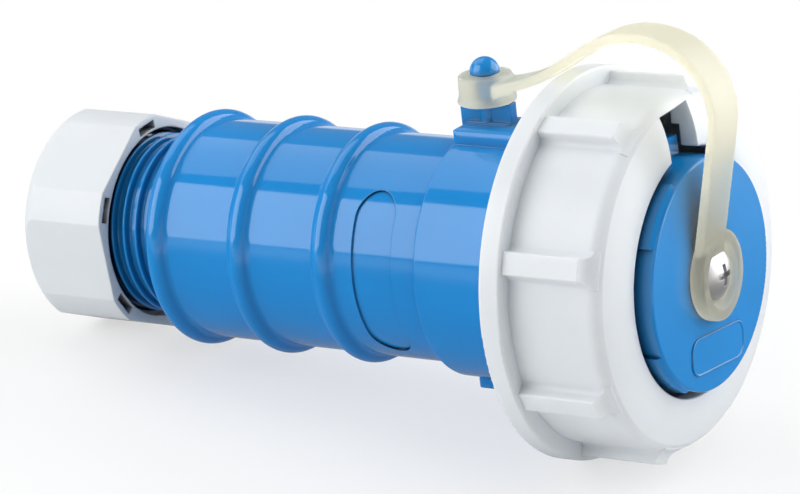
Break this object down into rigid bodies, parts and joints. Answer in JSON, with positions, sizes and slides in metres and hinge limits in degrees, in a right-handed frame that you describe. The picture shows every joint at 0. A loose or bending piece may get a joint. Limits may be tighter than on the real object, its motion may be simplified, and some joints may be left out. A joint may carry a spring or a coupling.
{
  "type": "mains cable coupler",
  "caption": "Watertight round mains coupler: ribbed housing, bayonet ring, strapped cap over a pin socket with side earth clips, and a clamping cable gland.",
  "frame": {"origin": "centre of the socket's mating face, at the mouth of the plug well", "axes": "+X along the axis out of the socket, +Z towards the strap post"},
  "size_m": [0.1806, 0.088, 0.0999],
  "materials": {
    "blue_plastic": "moulded, semi-gloss",
    "white_plastic": "moulded, semi-gloss",
    "ivory_plastic": "soft, slightly see-through",
    "grey_plastic": "moulded",
    "dark_plastic": "moulded",
    "black_rubber": "matte",
    "contact_brass": "stamped and turned",
    "steel": "plated"
  },
  "bodies": {
    "coupler": {"front_housing": "blue_plastic", "rear_housing": "blue_plastic", "housing_o_ring": "black_rubber", "ring_retainer": "blue_plastic", "retainer_screws": "steel", "contact_insert": "grey_plastic", "contact_carrier": "dark_plastic", "line_contact_left": "contact_brass", "line_contact_right": "contact_brass", "earth_contact": "contact_brass", "terminal_screws": "steel", "carrier_screws": "steel", "sealing_grommet": "black_rubber", "cap_strap": "ivory_plastic"},
    "ring": {"bayonet_ring": "white_plastic"},
    "cap": {"protective_cap": "blue_plastic", "cap_seal": "black_rubber", "strap_screw": "steel", "strap_nut": "steel"},
    "push": {"pressure_ring": "white_plastic"},
    "nut": {"gland_nut": "white_plastic"}
  },
  "joints": [
    {"name": "ring_turn", "type": "hinge", "parent": "coupler", "child": "ring", "pos_m": [0, 0, 0], "axis": [-1, 0, 0], "range_deg": [0, 60]},
    {"name": "cap_pull", "type": "slide", "parent": "coupler", "child": "cap", "axis": [1, 0, 0], "range_m": [0, 0.04], "deforming": ["cap_strap"]},
    {"name": "gland_travel", "type": "slide", "parent": "coupler", "child": "push", "axis": [1, 0, 0], "range_m": [-0.0052, 0.0052], "deforming": ["sealing_grommet"]},
    {"name": "gland_turn", "type": "hinge", "parent": "push", "child": "nut", "pos_m": [-0.15, 0, 0], "axis": [1, 0, 0], "range_deg": [-540, 540]}
  ],
  "couplings": [
    {"joint": "gland_travel", "follows": "gland_turn", "m_per_rad": 0.00054113}
  ]
}
